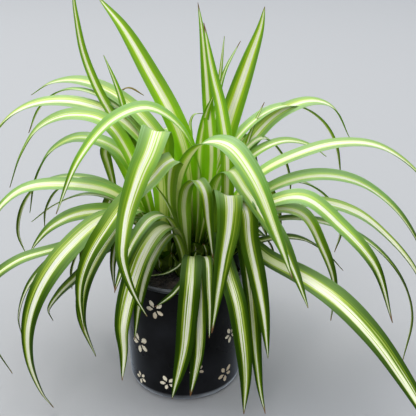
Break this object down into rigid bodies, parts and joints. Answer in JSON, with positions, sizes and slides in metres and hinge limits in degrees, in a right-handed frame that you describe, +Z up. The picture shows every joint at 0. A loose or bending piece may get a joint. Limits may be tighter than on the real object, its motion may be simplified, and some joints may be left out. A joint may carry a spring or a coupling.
{
  "type": "potted spider plant",
  "caption": "Striped arching spider plant in a small dark metal pot filled with potting mix, standing on a flat base.",
  "frame": {"origin": "centre of the pot's flat underside, on the surface that it stands on", "axes": "+Z up, -Y towards the side that the picture shows, +X to the right in the picture"},
  "size_m": [0.4475, 0.2817, 0.3421],
  "materials": {
    "pot_metal": "dark charcoal satin enamel on thin metal",
    "pot_print": "cream printed flowers, matt, slightly worn",
    "soil": "loose dark potting mix, rough",
    "leaf": "satin green leaf with a cream middle stripe and fine lengthwise veins"
  },
  "bodies": {
    "root": {"pot": "pot_metal", "soil": "soil", "rosette_front": "leaf", "rosette_left": "leaf", "rosette_right": "leaf", "rosette_back": "leaf"}
  },
  "joints": []
}
